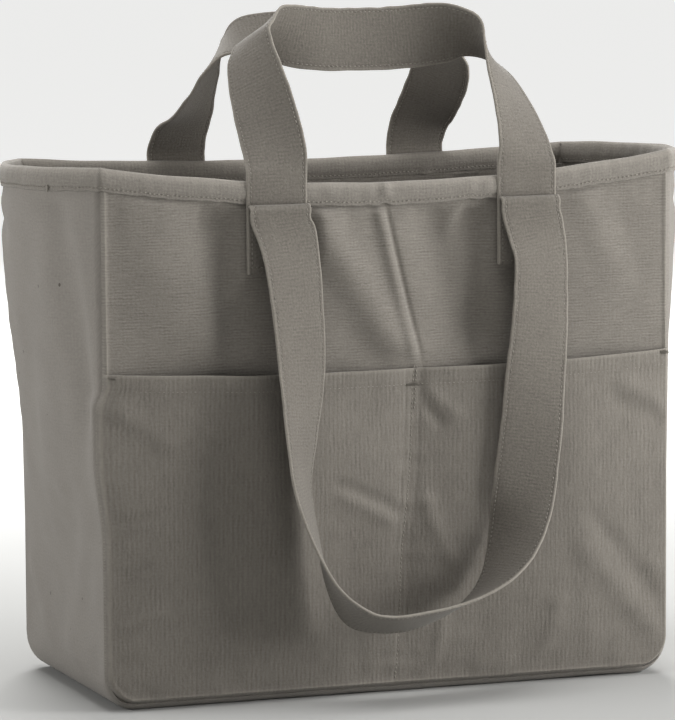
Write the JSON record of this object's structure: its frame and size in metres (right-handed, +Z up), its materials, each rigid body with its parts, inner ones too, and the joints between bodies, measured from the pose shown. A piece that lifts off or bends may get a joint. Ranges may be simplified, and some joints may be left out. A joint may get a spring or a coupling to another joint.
{
  "type": "garden tool bag",
  "caption": "Upright open canvas tote for garden tools, with a divided front pocket, a bound rim, short carry handles and long shoulder straps that hang down the faces.",
  "frame": {"origin": "on the ground under the middle of the bag's base", "axes": "+Z up, +X to the right and -Y out of the pocketed front face"},
  "size_m": [0.4444, 0.2946, 0.4359],
  "materials": {
    "panel_canvas": "plain heavy cotton canvas, matt",
    "gusset_canvas": "plain heavy cotton canvas with a few dark flecks, matt",
    "pocket_canvas": "heavy cotton canvas with upright ribs, matt",
    "binding_twill": "folded cotton binding tape, matt",
    "strap_canvas": "folded canvas strap, stitched along both edges, matt",
    "thread": "cotton thread, dense bar stitching"
  },
  "bodies": {
    "bag": {"front_panel": "panel_canvas", "back_panel": "panel_canvas", "gusset_strip": "gusset_canvas", "front_pocket": "pocket_canvas", "rim_binding": "binding_twill", "pocket_divider_bartack": "thread", "pocket_left_bartack": "thread", "pocket_right_bartack": "thread", "front_handle_left_end": "strap_canvas", "front_handle_right_end": "strap_canvas", "front_strap_left_end": "strap_canvas", "front_strap_right_end": "strap_canvas", "back_handle_left_end": "strap_canvas", "back_handle_right_end": "strap_canvas", "back_strap_left_end": "strap_canvas", "back_strap_right_end": "strap_canvas"},
    "front_handle": {"front_carry_handle": "strap_canvas"},
    "back_handle": {"back_carry_handle": "strap_canvas"},
    "front_strap": {"front_shoulder_strap": "strap_canvas"},
    "back_strap": {"back_shoulder_strap": "strap_canvas"}
  },
  "joints": [
    {"name": "front_handle_swing", "type": "hinge", "parent": "bag", "child": "front_handle", "pos_m": [0.0072, -0.0918, 0.33], "axis": [1, 0, 0], "range_deg": [0, 30]},
    {"name": "back_handle_swing", "type": "hinge", "parent": "bag", "child": "back_handle", "pos_m": [0.0015, 0.0918, 0.33], "axis": [-1, 0, 0], "range_deg": [0, 40]},
    {"name": "front_strap_lift", "type": "hinge", "parent": "bag", "child": "front_strap", "pos_m": [0.0072, -0.0967, 0.3095], "axis": [-1, 0, 0], "range_deg": [0, 150]},
    {"name": "back_strap_lift", "type": "hinge", "parent": "bag", "child": "back_strap", "pos_m": [0.0015, 0.0967, 0.3095], "axis": [1, 0, 0], "range_deg": [0, 150]}
  ]
}
